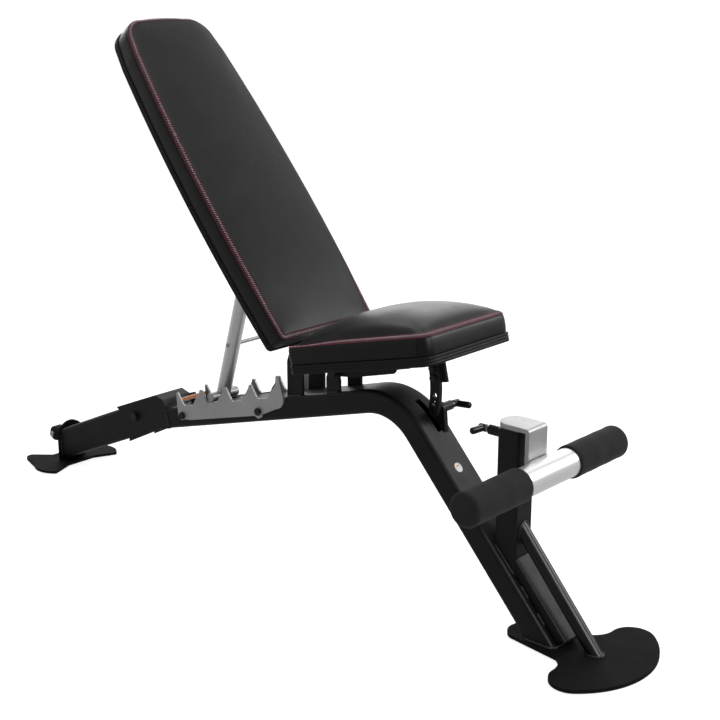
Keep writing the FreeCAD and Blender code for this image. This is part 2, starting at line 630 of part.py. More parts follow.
for y0 in (LUG_Y, -LUG_Y - LUG_T):
    lug = box(205, 262, y0, y0 + LUG_T, BOARD_LOW - 17, BOARD_LOW)
    lug = lug.fuse(cyl(14, V(239, y0, -67), V(239, y0 + LUG_T, -67)))
    back_frame = back_frame.fuse(back_place(lug))
back_frame = back_frame.cut(cyl_y(PIVOT_R + 0.05, BACK.x, BACK.z, -80, 80))
back_frame = back_frame.cut(cyl_y(PIVOT_R + 0.05, STRUT_TOP.x, STRUT_TOP.z, -40, 40))
back_board_p = back_place(back_board)
back_frame = back_frame.cut(back_board_p)
put("back_frame", back_frame)
put("back_board", back_board_p)
put("back_pad", back_place(back_pad))

# =============== strut ===============
STRUT_R = 15.0
dirs = STRUT_TOP.sub(STRUT_FOOT)
dirs.normalize()
strut = cyl(STRUT_R, STRUT_FOOT + dirs * 6, STRUT_TOP)
strut = strut.fuse(cyl_y(15, STRUT_TOP.x, STRUT_TOP.z, -29, 29))
bore = cyl(STRUT_R - 2, STRUT_FOOT + dirs * 14, STRUT_TOP - dirs * 20)
FOOT_R = 10.0
strut = strut.cut(bore).cut(cyl_y(FOOT_R, STRUT_FOOT.x, STRUT_FOOT.z, -60, 60))
strut = strut.cut(cyl_y(PIVOT_R + 0.05, STRUT_TOP.x, STRUT_TOP.z, -60, 60))
ROD = STRUT_FOOT + dirs * 120
strut = strut.cut(cyl_y(4.0, ROD.x, ROD.z, -60, 60))
put("strut_tube", strut)
foot_bar = cyl_y(FOOT_R, STRUT_FOOT.x, STRUT_FOOT.z, -37.3, 37.3)
rims = [e for e in foot_bar.Edges if e.BoundBox.YLength < 0.01]
put("strut_foot_bar", foot_bar.makeFillet(2, rims))
put("strut_cross_rod", cyl_y(4.0, ROD.x, ROD.z, -17, 78))
put("strut_pivot_pin", pivot_pin(STRUT_TOP, LUG_Y + LUG_T + 0.6))

# =============== leg holder ===============
SLIDE_GAP = 0.3
inner = box(POST_X[0] + 3 + SLIDE_GAP, POST_X[1] - 3 - SLIDE_GAP, -POST_HALF_Y + 3 + SLIDE_GAP,
            POST_HALF_Y - 3 - SLIDE_GAP, 214, POST_TOP + 4)
inner = inner.cut(box(POST_X[0] + 6, POST_X[1] - 6, -POST_HALF_Y + 6, POST_HALF_Y - 6, 210, POST_TOP - 20))
for k in range(4):
    z = LEG_PIN.z - 30 * k
    inner = inner.cut(Part.makeCylinder(PIN_R + 0.06, 14, V(POST_X[0], 0, z), V(1, 0, 0)))
put("holder_slide_tube", inner)
top0 = POST_TOP + 4
STRAP_X = 588.0
STRAP_T = 8.0
STRAP_HALF = 27.0
out_x = STRAP_X + STRAP_T
arm_pts = [V(POST_X[0] + 14, -STRAP_HALF, top0), V(out_x, -STRAP_HALF, top0), V(out_x, STRAP_HALF, top0),
           V(POST_X[0] + 14, STRAP_HALF, top0),
           (0, V(POST_X[0] - 6, 0, top0), V(POST_X[0] + 14, -STRAP_HALF, top0))]
arm = slab(arm_pts, V(0, 0, STRAP_T))
strap = box(STRAP_X, out_x, -STRAP_HALF, STRAP_HALF, ROLLER.z - 4, top0 + STRAP_T)
bracket = arm.fuse(strap).removeSplitter()
knee = [e for e in bracket.Edges if abs(e.BoundBox.XMin - out_x) < 0.01 and abs(e.BoundBox.XMax - out_x) < 0.01
        and abs(e.BoundBox.ZMin - top0 - STRAP_T) < 0.01 and e.BoundBox.ZLength < 0.01]
bracket = bracket.makeFillet(7.5, knee)
cross = cyl_y(ROLLER_R, ROLLER.x, ROLLER.z, -ROLLER_HALF, ROLLER_HALF)
bracket = bracket.cut(cross)
put("holder_bracket", max(bracket.Solids, key=lambda s: s.Volume))
put("holder_cross_tube", cross.cut(cyl_y(AXLE_R, ROLLER.x, ROLLER.z, -100, 100)))
AXLE_HALF = FOAM_END - 12
put("holder_axle", ring_y(AXLE_R, AXLE_R - 2, ROLLER.x, ROLLER.z, -AXLE_HALF, AXLE_HALF))
for name, y0, y1 in (("foam_pad_left", ROLLER_HALF + 0.3, FOAM_END), ("foam_pad_right", -FOAM_END,
        -ROLLER_HALF - 0.3)):
    foam = cyl_y(FOAM_R, ROLLER.x, ROLLER.z, y0, y1)
    rims = [e for e in foam.Edges if e.BoundBox.YLength < 0.01]
    foam = foam.makeFillet(7, rims)
    foam = foam.cut(cyl_y(AXLE_R + SOFT_GAP, ROLLER.x, ROLLER.z, -AXLE_HALF - 0.3, AXLE_HALF + 0.3))
    put(name, foam)

os.makedirs("parts", exist_ok=True)
for node, shape in nodes.items():
    shape.exportStep("parts/" + node + ".step")
    print(node, len(shape.Solids), round(shape.Volume), shape.isValid(), [round(v, 1) for v in (
        shape.BoundBox.XMin, shape.BoundBox.XMax, shape.BoundBox.YMin, shape.BoundBox.YMax,
        shape.BoundBox.ZMin, shape.BoundBox.ZMax)])
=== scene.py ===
import bpy
import json
import math
import numpy as np
from mathutils import Matrix, Vector


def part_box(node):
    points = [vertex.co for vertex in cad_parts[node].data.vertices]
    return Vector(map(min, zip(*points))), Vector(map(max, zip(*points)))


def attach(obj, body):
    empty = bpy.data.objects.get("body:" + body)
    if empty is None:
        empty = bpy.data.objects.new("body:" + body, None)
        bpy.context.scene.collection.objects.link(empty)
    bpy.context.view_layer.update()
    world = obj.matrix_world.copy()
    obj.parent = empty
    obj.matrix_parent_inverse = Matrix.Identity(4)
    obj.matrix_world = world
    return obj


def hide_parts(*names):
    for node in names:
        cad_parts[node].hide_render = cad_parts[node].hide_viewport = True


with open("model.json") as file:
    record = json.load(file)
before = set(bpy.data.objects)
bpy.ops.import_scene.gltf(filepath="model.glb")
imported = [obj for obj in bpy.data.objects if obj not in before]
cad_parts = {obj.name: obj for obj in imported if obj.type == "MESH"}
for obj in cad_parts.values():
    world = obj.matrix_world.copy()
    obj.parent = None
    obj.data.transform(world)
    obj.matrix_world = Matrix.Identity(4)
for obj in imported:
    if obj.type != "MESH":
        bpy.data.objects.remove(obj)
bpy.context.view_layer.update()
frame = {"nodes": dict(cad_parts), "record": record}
NODES = frame["nodes"]
MM = 0.001


# ------------------------------------------------------------------ materials
def coords(tree, stretch=(1, 1, 1)):
    where = tree.nodes.new("ShaderNodeTexCoord")
    mapping = tree.nodes.new("ShaderNodeMapping")
    mapping.inputs["Scale"].default_value = stretch
    tree.links.new(where.outputs["Object"], mapping.inputs["Vector"])
    return mapping.outputs["Vector"]


def noise(tree, vector, scale, detail=3.0, rough=0.5):
    node = tree.nodes.new("ShaderNodeTexNoise")
    node.inputs["Scale"].default_value = scale
    node.inputs["Detail"].default_value = detail
    node.inputs["Roughness"].default_value = rough
    tree.links.new(vector, node.inputs["Vector"])
    return node.outputs["Fac"]


def ramp(tree, value, stops):
    node = tree.nodes.new("ShaderNodeValToRGB")
    band = node.color_ramp
    while len(band.elements) < len(stops):
        band.elements.new(0.5)
    for element, (at, colour) in zip(band.elements, stops):
        element.position = at
        element.color = colour if len(colour) == 4 else (*colour, 1)
    tree.links.new(value, node.inputs["Fac"])
    return node.outputs["Color"]


def grey(v):
    return (v, v, v, 1)


def spread(tree, value, low, high, lo_in=0.3, hi_in=0.7):
    node = tree.nodes.new("ShaderNodeMapRange")
    node.inputs["From Min"].default_value = lo_in
    node.inputs["From Max"].default_value = hi_in
    node.inputs["To Min"].default_value = low
    node.inputs["To Max"].default_value = high
    tree.links.new(value, node.inputs["Value"])
    return node.outputs["Result"]


def bump(tree, height, strength, distance, under=None):
    node = tree.nodes.new("ShaderNodeBump")
    node.inputs["Strength"].default_value = strength
    node.inputs["Distance"].default_value = distance
    tree.links.new(height, node.inputs["Height"])
    if under is not None:
        tree.links.new(under, node.inputs["Normal"])
    return node.outputs["Normal"]


def mixed(tree, fac, a, b):
    node = tree.nodes.new("ShaderNodeMix")
    node.data_type = "RGBA"
    tree.links.new(fac, node.inputs["Factor"])
    for socket, value in ((node.inputs[6], a), (node.inputs[7], b)):
        if hasattr(value, "is_output"):
            tree.links.new(value, socket)
        else:
            socket.default_value = value
    return node.outputs[2]


def times(tree, a, b):
    node = tree.nodes.new("ShaderNodeMath")
    node.operation = "MULTIPLY"
    for socket, value in ((node.inputs[0], a), (node.inputs[1], b)):
        if hasattr(value, "is_output"):
            tree.links.new(value, socket)
        else:
            socket.default_value = value
    return node.outputs[0]


def softened(tree, radius):
    node = tree.nodes.new("ShaderNodeBevel")
    node.samples = 4
    node.inputs["Radius"].default_value = radius
    return node.outputs["Normal"]


def edge_mask(tree, rounded):
    """White along sharp edges, where the rounded normal leaves the true one."""
    true = tree.nodes.new("ShaderNodeNewGeometry")
    dot = tree.nodes.new("ShaderNodeVectorMath")
    dot.operation = "DOT_PRODUCT"
    tree.links.new(true.outputs["True Normal"], dot.inputs[0])
    tree.links.new(rounded, dot.inputs[1])
    return spread(tree, dot.outputs["Value"], 1.0, 0.0, 0.82, 0.985)


def start(name, roughness, metallic=0.0, specular=0.5):
    mat = bpy.data.materials.new(name)
    mat.use_nodes = True
    tree = mat.node_tree
    shader = tree.nodes["Principled BSDF"]
    shader.inputs["Roughness"].default_value = roughness
    shader.inputs["Metallic"].default_value = metallic
    shader.inputs["Specular IOR Level"].default_value = specular
    return mat, tree, shader


def painted(name, dark, light, edge, rough, specular=0.5, metallic=0.0, grain=1500.0,
            grain_depth=0.00006, wear=0.5, radius=0.0009, coat=0.0):
    """Sprayed or powder-coated metal: fine orange peel, cloudy tone, rubbed edges, dust in the gloss."""
    mat, tree, shader = start(name, sum(rough) / 2, metallic, specular)
    link = tree.links.new
    at = coords(tree)
    clouds = noise(tree, at, 7.0, 4.0, 0.6)
    speckle = noise(tree, at, grain, 2.0, 0.6)
    peel = noise(tree, at, grain * 0.45, 2.0, 0.5)
    scuffs = noise(tree, coords(tree, (1, 1, 6)), 60.0, 6.0, 0.7)
    body = ramp(tree, clouds, [(0.3, dark), (0.7, light)])
    fleck = mixed(tree, spread(tree, speckle, 0.0, 0.35, 0.45, 0.8), body, light)
    rounded = softened(tree, radius)
    rub = times(tree, edge_mask(tree, rounded), spread(tree, scuffs, 0.0, wear, 0.42, 0.6))
    link(mixed(tree, rub, fleck, edge), shader.inputs["Base Color"])
    low, high = rough
    link(spread(tree, noise(tree, at, 22.0, 5.0, 0.65), low, high), shader.inputs["Roughness"])
    fine = bump(tree, speckle, 0.35, grain_depth, rounded)
    link(bump(tree, peel, 0.3, grain_depth * 1.6, fine), shader.inputs["Normal"])
    if coat:
        shader.inputs["Coat Weight"].default_value = coat
        shader.inputs["Coat Roughness"].default_value = 0.22
    return mat


def leather(name, dark, light, rough, grain=1.0):
    """Upholstery vinyl: pebble grain with fine pores and painted shade in its valleys, soft creases, a faint dusty
    sheen.
    """
    mat, tree, shader = start(name, 0.42, 0.0, 0.28)
    link = tree.links.new
    at = coords(tree)
    cells = tree.nodes.new("ShaderNodeTexVoronoi")
    cells.feature = "DISTANCE_TO_EDGE"
    cells.inputs["Scale"].default_value = 620.0
    cells.inputs["Randomness"].default_value = 1.0
    warp = tree.nodes.new("ShaderNodeTexNoise")
    warp.inputs["Scale"].default_value = 240.0
    link(at, warp.inputs["Vector"])
    shift = tree.nodes.new("ShaderNodeVectorMath")
    shift.operation = "MULTIPLY_ADD"
    shift.inputs[1].default_value = (0.0016, 0.0016, 0.0016)
    link(warp.outputs["Color"], shift.inputs[0])
    link(at, shift.inputs[2])
    link(shift.outputs["Vector"], cells.inputs["Vector"])
    pebble = spread(tree, cells.outputs["Distance"], 0.0, 1.0, 0.0, 0.22)
    pores = noise(tree, at, 2600.0, 2.0, 0.6)
    creases = noise(tree, coords(tree, (1.0, 2.6, 1.0)), 34.0, 6.0, 0.62)
    clouds = noise(tree, at, 6.0, 3.0, 0.5)
    tone = ramp(tree, clouds, [(0.3, dark), (0.72, light)])
    # Colour darkens in the valleys between the pebbles: painted shade in the grain's hollows.
    link(mixed(tree, spread(tree, pebble, 0.55, 0.0, 0.0, 0.5), tone, tuple(v * 0.35 for v in dark[:3]) + (1,)),
         shader.inputs["Base Color"])
    low, high = rough
    link(spread(tree, noise(tree, at, 16.0, 4.0, 0.6), low, high), shader.inputs["Roughness"])
    first = bump(tree, creases, 0.35, 0.0008)
    second = bump(tree, pebble, 0.30 * grain, 0.00022, first)
    link(bump(tree, pores, 0.18, 0.00008, second), shader.inputs["Normal"])
    shader.inputs["Sheen Weight"].default_value = 0.06
    shader.inputs["Sheen Roughness"].default_value = 0.35
    return mat


def foam(name):
    """Dense closed-cell foam: chalky black skin with open pits, painted shade darkening their bottoms, and
    handling marks.
    """
    mat, tree, shader = start(name, 0.80, 0.0, 0.22)
    link = tree.links.new
    at = coords(tree)
    pits = tree.nodes.new("ShaderNodeTexVoronoi")
    pits.inputs["Scale"].default_value = 780.0
    link(at, pits.inputs["Vector"])
    skin = noise(tree, at, 420.0, 4.0, 0.65)
    dents = noise(tree, at, 26.0, 3.0, 0.5)
    tone = ramp(tree, noise(tree, at, 18.0, 4.0, 0.6), [(0.3, grey(0.0070)), (0.75, grey(0.0125))])
    # Darker towards each pit's centre: painted shade in the pits.
    pit_shade = spread(tree, pits.outputs["Distance"], 0.6, 0.0, 0.0, 0.22)
    link(mixed(tree, pit_shade, tone, grey(0.004)), shader.inputs["Base Color"])
    link(spread(tree, skin, 0.74, 0.95), shader.inputs["Roughness"])
    one = bump(tree, dents, 0.25, 0.0012)
    two = bump(tree, skin, 0.4, 0.00035, one)
    link(bump(tree, pits.outputs["Distance"], 0.45, 0.00030, two), shader.inputs["Normal"])
    shader.inputs["Sheen Weight"].default_value = 0.03
    shader.inputs["Sheen Roughness"].default_value = 0.5
    return mat


def moulded(name, dark, light, rough, grain=900.0, depth=0.00010, specular=0.5, radius=0.0007):
    """Injection-moulded plastic or rubber: spark-eroded texture, slight flow marks."""
    mat, tree, shader = start(name, sum(rough) / 2, 0.0, specular)
    link = tree.links.new
    at = coords(tree)
    spark = noise(tree, at, grain, 3.0, 0.6)
    flow = noise(tree, coords(tree, (1, 3, 1)), 12.0, 4.0, 0.6)
    rounded = softened(tree, radius)
    tone = ramp(tree, flow, [(0.3, dark), (0.7, light)])
    rub = times(tree, edge_mask(tree, rounded), 0.35)
    link(mixed(tree, rub, tone, tuple(min(1, v * 3.2) for v in light[:3]) + (1,)), shader.inputs["Base Color"])
    low, high = rough
    link(spread(tree, noise(tree, at, 40.0, 4.0, 0.6), low, high), shader.inputs["Roughness"])
    link(bump(tree, spark, 0.4, depth, rounded), shader.inputs["Normal"])
    return mat


def steel(name, tint, rough, along=(1, 24, 1)):
    """Plated or turned steel with fine machining lines and a few dull patches."""
    mat, tree, shader = start(name, sum(rough) / 2, 1.0, 0.5)
    link = tree.links.new
    lines = noise(tree, coords(tree, along), 260.0, 3.0, 0.55)
    patch = noise(tree, coords(tree), 30.0, 5.0, 0.65)
    rounded = softened(tree, 0.0005)
    link(ramp(tree, patch, [(0.3, tuple(v * 0.72 for v in tint) + (1,)), (0.7, (*tint, 1))]),
         shader.inputs["Base Color"])
    low, high = rough
    link(spread(tree, patch, high, low), shader.inputs["Roughness"])
    link(bump(tree, lines, 0.25, 0.00005, rounded), shader.inputs["Normal"])
    return mat


def thread(name, colour, light):
    mat, tree, shader = start(name, 0.6, 0.0, 0.3)
    link = tree.links.new
    at = coords(tree)
    twist = tree.nodes.new("ShaderNodeTexWave")
    twist.inputs["Scale"].default_value = 900.0
    twist.inputs["Distortion"].default_value = 1.5
    link(at, twist.inputs["Vector"])
    link(ramp(tree, noise(tree, at, 300.0), [(0.35, colour), (0.7, light)]), shader.inputs["Base Color"])
    link(spread(tree, twist.outputs["Fac"], 0.5, 0.75, 0.0, 1.0), shader.inputs["Roughness"])
    link(bump(tree, twist.outputs["Fac"], 0.5, 0.00012), shader.inputs["Normal"])
    return mat


def printed(name, colour, light):
    """Blank vinyl label: one ink, slight fading and a soft gloss."""
    mat, tree, shader = start(name, 0.35, 0.0, 0.45)
    link = tree.links.new
    at = coords(tree)
    link(ramp(tree, noise(tree, at, 90.0, 5.0, 0.65), [(0.3, colour), (0.7, light)]), shader.inputs["Base Color"])
    link(spread(tree, noise(tree, at, 60.0, 4.0), 0.28, 0.42), shader.inputs["Roughness"])
    link(bump(tree, noise(tree, at, 420.0, 3.0), 0.2, 0.00008), shader.inputs["Normal"])
    return mat


M = {
    "frame_paint": painted("frame_powder_coat", grey(0.0042), grey(0.0076), grey(0.045), (0.34, 0.46), 0.20),
    "silver_paint": painted("silver_enamel", grey(0.34), grey(0.42), grey(0.60), (0.34, 0.46), 0.4, 0.70,
                            2200.0, 0.00003, 0.4),
    "zinc": steel("zinc_plate", (0.62, 0.62, 0.60), (0.24, 0.42)),
    "black_steel": painted("black_oxide", grey(0.006), grey(0.012), grey(0.08), (0.28, 0.46), 0.4, 0.30,
                           1900.0, 0.00004, 0.6, 0.0006),
    "knob_plastic": moulded("knob_gloss", grey(0.0035), grey(0.0060), (0.14, 0.24), 500.0, 0.00003, 0.40, 0.0008),
    "trim_plastic": moulded("trim_satin", grey(0.0030), grey(0.0052), (0.34, 0.46), 1100.0, 0.00009, 0.20),
    "rubber_black": moulded("rubber_matt", grey(0.0045), grey(0.0080), (0.60, 0.80), 700.0, 0.00016, 0.22),
    "pad_leather": leather("pad_vinyl", grey(0.0030), grey(0.0052), (0.27, 0.37)),
    "foam_black": foam("foam_sleeve"),
}
RED_THREAD = thread("thread_red", (0.10, 0.007, 0.017, 1), (0.18, 0.018, 0.036, 1))
PALE_THREAD = thread("thread_rose", (0.34, 0.20, 0.23, 1), (0.52, 0.37, 0.40, 1))
PLATE = painted("plate_powder_coat", grey(0.0040), grey(0.0072), grey(0.040), (0.60, 0.72), 0.05)
GLOSS_TUBE = painted("gloss_powder_coat", grey(0.0040), grey(0.0072), grey(0.050), (0.20, 0.30), 0.36)
# Copy of the silver enamel for the cross tube and strut: its lighter base colour is a painted highlight, while its
# lower roughness is real.
SILVER_PAINTED_HIGHLIGHT = painted("silver_painted_highlight", grey(0.72), grey(0.76), grey(0.9), (0.28, 0.34), 0.5, 0.75,
                      2600.0, 0.000008, 0.1)
WELD = painted("weld_powder_coat", grey(0.0080), grey(0.0140), grey(0.05), (0.34, 0.5), 0.42, 0.0,
               900.0, 0.00009, 0.3, 0.0004)
WHITE_LABEL = printed("label_white", grey(0.62), grey(0.74))
ORANGE_LABEL = printed("label_orange", (0.72, 0.22, 0.045, 1), (0.84, 0.33, 0.09, 1))

for entry in frame["record"]["subparts"]:
    mesh = NODES[entry["node"]].data
    mesh.materials.clear()
    mesh.materials.append(M[entry["material_slot"]])
# The cross tube and strut take the silver copy that carries the painted highlight.
for name, special in (("holder_cross_tube", SILVER_PAINTED_HIGHLIGHT), ("strut_tube", SILVER_PAINTED_HIGHLIGHT),
                      ("front_brace_tube", GLOSS_TUBE), ("front_foot_plate", PLATE), ("rear_foot_plate", PLATE)):
    NODES[name].data.materials[0] = special


# ------------------------------------------------------------------ mesh tools
def make(name, points, faces, material, body, smooth=True):
    mesh = bpy.data.meshes.new(name)
    mesh.from_pydata([tuple(map(float, p)) for p in points], [], faces)
    mesh.validate()
    mesh.update()
    obj = bpy.data.objects.new(name, mesh)
    bpy.context.scene.collection.objects.link(obj)
    mesh.materials.append(material)
    if smooth:
        mesh.shade_smooth()
    if body:
        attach(obj, body)
    return obj


def activate(obj):
    bpy.ops.object.select_all(action="DESELECT")
    obj.select_set(True)
    bpy.context.view_layer.objects.active = obj


def apply_modifiers(obj):
    activate(obj)
    for modifier in list(obj.modifiers):
        bpy.ops.object.modifier_apply(modifier=modifier.name)


class Local:
    """A flat frame on a pad: x along its length, y across, z out of its face, all in millimetres."""

    def __init__(self, base, ex, ey):
        self.base = np.array(base, float)
        self.ex = np.array(ex, float)
        self.ey = np.array(ey, float)
        self.ez = np.cross(self.ex, self.ey)

    def out(self, p):
        p = np.atleast_2d(np.asarray(p, float))
        return (self.base + p[:, :1] * self.ex + p[:, 1:2] * self.ey + p[:, 2:3] * self.ez) * MM


def arc(a, m, b, count):
    """Points on the circle through a, m and b, from after a up to b."""
    (ax, ay), (mx, my), (bx, by) = a, m, b
    d = 2 * (ax * (my - by) + mx * (by - ay) + bx * (ay - my))
    sa, sm, sb = ax * ax + ay * ay, mx * mx + my * my, bx * bx + by * by
    cx = (sa * (my - by) + sm * (by - ay) + sb * (ay - my)) / d
    cy = (sa * (bx - mx) + sm * (ax - bx) + sb * (mx - ax)) / d
    r = math.hypot(ax - cx, ay - cy)
    t0 = math.atan2(ay - cy, ax - cx)
    t1 = math.atan2(by - cy, bx - cx)
    tm = math.atan2(my - cy, mx - cx)
    turn = (t1 - t0) % (2 * math.pi)
    if (tm - t0) % (2 * math.pi) > turn:
        turn -= 2 * math.pi
    return [(cx + r * math.cos(t0 + turn * k / count), cy + r * math.sin(t0 + turn * k / count))
            for k in range(1, count + 1)]


def outline(items, count=14):
    """Closed outline; an entry ('arc', mid, end) is a round stretch."""
    pts = [items[0]]
    for item in items[1:]:
        if item[0] == "arc":
            pts += arc(pts[-1], item[1], item[2], count)
        else:
            pts.append(item)
    return np.array(pts, float)


def resample(pts, stops):
    """Points at the given shares of an open line's length."""
    steps = np.linalg.norm(np.diff(pts, axis=0), axis=1)
    run = np.concatenate([[0], np.cumsum(steps)])
    at = np.asarray(stops) * run[-1]
    return np.stack([np.interp(at, run, pts[:, k]) for k in range(pts.shape[1])], axis=1)


def around(pts, step):
    """Even points round a closed line."""
    closed = np.vstack([pts, pts[:1]])
    length = np.linalg.norm(np.diff(closed, axis=0), axis=1).sum()
    count = int(round(length / step))
    return resample(closed, np.arange(count) / count)


def inward(pts):
    """Unit normals of a closed outline, pointing in."""
    ahead = np.roll(pts, -1, axis=0) - np.roll(pts, 1, axis=0)
    ahead /= np.linalg.norm(ahead, axis=1)[:, None]
    normal = np.stack([-ahead[:, 1], ahead[:, 0]], axis=1)
    area = np.sum(pts[:, 0] * np.roll(pts[:, 1], -1) - np.roll(pts[:, 0], -1) * pts[:, 1])
    return normal if area > 0 else -normal


def distance_in(points, line):
    """How far each point is from a closed outline."""
    a = line
    b = np.roll(line, -1, axis=0)
    ab = b - a
    best = np.full(len(points), 1e9)
    for k in range(len(a)):
        t = np.clip(((points - a[k]) @ ab[k]) / max(ab[k] @ ab[k], 1e-9), 0, 1)
        best = np.minimum(best, np.linalg.norm(points - (a[k] + t[:, None] * ab[k]), axis=1))
    return best


def smooth_step(x):
    x = np.clip(x, 0, 1)
    return x * x * (3 - 2 * x)


# ------------------------------------------------------------------ pads
WELT = 7.5          # rise of the stitched shoulder above the seam, mm
SHOULDER = 10.5     # how far in from the seam the shoulder reaches, mm
STITCH_IN = 8.4     # inner stitch row from the seam, mm
SEAM_ROW = 0.9      # outer stitch row from the seam, mm
BAND_ROW = 4.7      # pale cross stitches on the shoulder


def shoulder_height(d, x):
    """Stitched shoulder and the sewn channel inside it; the shoulder is low where the two pads meet."""
    share = np.clip(d / SHOULDER, 0, 1)
    roll = WELT * (1 - (1 - share) ** 1.7)
    channel = -0.9 * np.exp(-((d - STITCH_IN) / 1.3) ** 2)
    return roll * (0.25 + 0.75 * smooth_step((x - 24) / 120)) + channel


def graded(length, near, step):
    """Shares of a length: close rows at both ends and even rows between."""
    count = int(round((length - 2 * near[-1]) / step))
    middle = np.linspace(near[-1], length - near[-1], count + 1)[1:-1]
    return np.concatenate([near, middle, length - np.array(near)[::-1]]) / length


NEAR = [0.0, 0.9, 2.0, 3.4, 5.0, 6.6, 7.6, 8.4, 9.2, 10.6, 13.0, 17.0]  # rows of the grid by the seam, mm
RIM_STEP = 1.5       # spacing of the points round a pad's seam, mm


def cushion(name, place, line, corners, thickness, crown, step):
    """Top sheet on a four-sided grid, boxing round the side and a flat base, as one closed form."""
    i0, i1, i2, i3 = corners
    rear = line[i0:i1 + 1]
    left = line[i1:i2 + 1]
    front = line[i2:i3 + 1][::-1]
    right = np.vstack([line[i3:], line[:i0 + 1]])[::-1]
    v = graded(np.linalg.norm(rear[0] - rear[-1]), NEAR, step)
    u = graded(np.linalg.norm(left[0] - left[-1]), NEAR, step)
    bottom, top = resample(rear, v), resample(front, v)
    side_a, side_b = resample(right, u), resample(left, u)
    nu, nv = len(u), len(v)
    U, W = np.meshgrid(u, v, indexing="ij")
    flat = ((1 - U)[..., None] * bottom[None] + U[..., None] * top[None]
            + (1 - W)[..., None] * side_a[:, None] + W[..., None] * side_b[:, None]
            - ((1 - U) * (1 - W))[..., None] * bottom[0] - ((1 - U) * W)[..., None] * bottom[-1]
            - (U * (1 - W))[..., None] * top[0] - (U * W)[..., None] * top[-1])
    flat = flat.reshape(-1, 2)
    d = distance_in(flat, line)
    z = shoulder_height(d, flat[:, 0]) + crown(flat[:, 0], flat[:, 1], d)
    points = [np.column_stack([flat, z])]
    index = np.arange(nu * nv).reshape(nu, nv)
    faces = []
    for i in range(nu - 1):
        for j in range(nv - 1):
            faces.append((index[i, j], index[i + 1, j], index[i + 1, j + 1], index[i, j + 1]))
    ring = np.concatenate([index[0, :-1], index[:-1, -1], index[-1, :0:-1], index[:0:-1, 0]])
    rim = flat[ring]
    normal = -inward(rim)
    levels = [(-0.9, -0.9), (-2.2, -0.1), (-4.5, 0.5), (-9.0, 1.0), (-0.5 * thickness, 1.2),
              (-thickness + 8, 0.9), (-thickness + 3, 0.3), (-thickness, -0.4)]
    count = len(ring)
    last = ring
    base = nu * nv
    wave = np.arange(count) * 2 * math.pi / count
    for k, (level, bulge) in enumerate(levels):
        pucker = 0.22 * np.sin(wave * 23 + 0.7) * np.sin(wave * 9 + 2.1) * (abs(level) / thickness)
        loop = rim + normal * (bulge + pucker)[:, None]
        points.append(np.column_stack([loop, np.full(count, level)]))
        here = base + np.arange(count)
        for a in range(count):
            b = (a + 1) % count
            faces.append((last[a], last[b], here[b], here[a]))
        last = here
        base += count
    inner = index[1:-1, 1:-1]
    low = np.full(index.shape, -1)
    low[1:-1, 1:-1] = base + np.arange(inner.size).reshape(inner.shape)
    ring_cells = [(0, j) for j in range(nv - 1)] + [(i, nv - 1) for i in range(nu - 1)]
    ring_cells += [(nu - 1, j) for j in range(nv - 1, 0, -1)] + [(i, 0) for i in range(nu - 1, 0, -1)]
    for (i, j), vertex in zip(ring_cells, last):
        low[i, j] = vertex
    points.append(np.column_stack([flat[inner.ravel()], np.full(inner.size, -thickness)]))
    for i in range(nu - 1):
        for j in range(nv - 1):
            faces.append((low[i, j], low[i, j + 1], low[i + 1, j + 1], low[i + 1, j]))
    local = np.vstack(points)
    flat_faces = [tuple(int(q) for q in f) for f in faces]
    obj = make(name, place.out(local), flat_faces, M["pad_leather"], None)
    loose = d > STITCH_IN + 2.4
    free = [int(q) for q in index.ravel()[loose]]
    return obj, free


CLOTH_FRAMES = 20


def inflate(obj, free, cap, pressure):
    """Presses the cover out from its foam with the sewn rows held, and keeps the result."""
    scene = bpy.context.scene
    rest = np.array([p.co for p in obj.data.vertices])
    group = obj.vertex_groups.new(name="sewn")
    held = sorted(set(range(len(rest))) - set(free))
    group.add(held, 1.0, "REPLACE")
    cloth = obj.modifiers.new("cover", "CLOTH")
    settings = cloth.settings
    settings.quality = 5
    settings.mass = 0.35
    settings.tension_stiffness = 22
    settings.compression_stiffness = 22
    settings.shear_stiffness = 12
    settings.bending_stiffness = 2.5
    settings.vertex_group_mass = "sewn"
    settings.use_pressure = True
    settings.uniform_pressure_force = pressure
    settings.effector_weights.gravity = 0
    cloth.collision_settings.use_collision = False
    cloth.point_cache.frame_start = 1
    cloth.point_cache.frame_end = CLOTH_FRAMES
    for number in range(1, CLOTH_FRAMES + 1):
        scene.frame_set(number)
    settled = obj.evaluated_get(bpy.context.evaluated_depsgraph_get())
    moved = np.array([p.co for p in settled.data.vertices])
    obj.modifiers.remove(cloth)
    scene.frame_set(1)
    step = moved - rest
    far = np.linalg.norm(step, axis=1)
    step *= np.minimum(1, cap / np.maximum(far, 1e-9))[:, None]
    obj.data.vertices.foreach_set("co", (rest + step).astype(np.float32).ravel())
    obj.data.update()
    obj.vertex_groups.remove(group)


def finish_pad(obj, free, body, node, cap, pressure):
    inflate(obj, free, cap, pressure)
    smooth = obj.modifiers.new("smooth", "SUBSURF")
    smooth.levels = 1
    smooth.render_levels = 1
    apply_modifiers(obj)
    obj.data.shade_smooth()
    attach(obj, body)
    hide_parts(node)


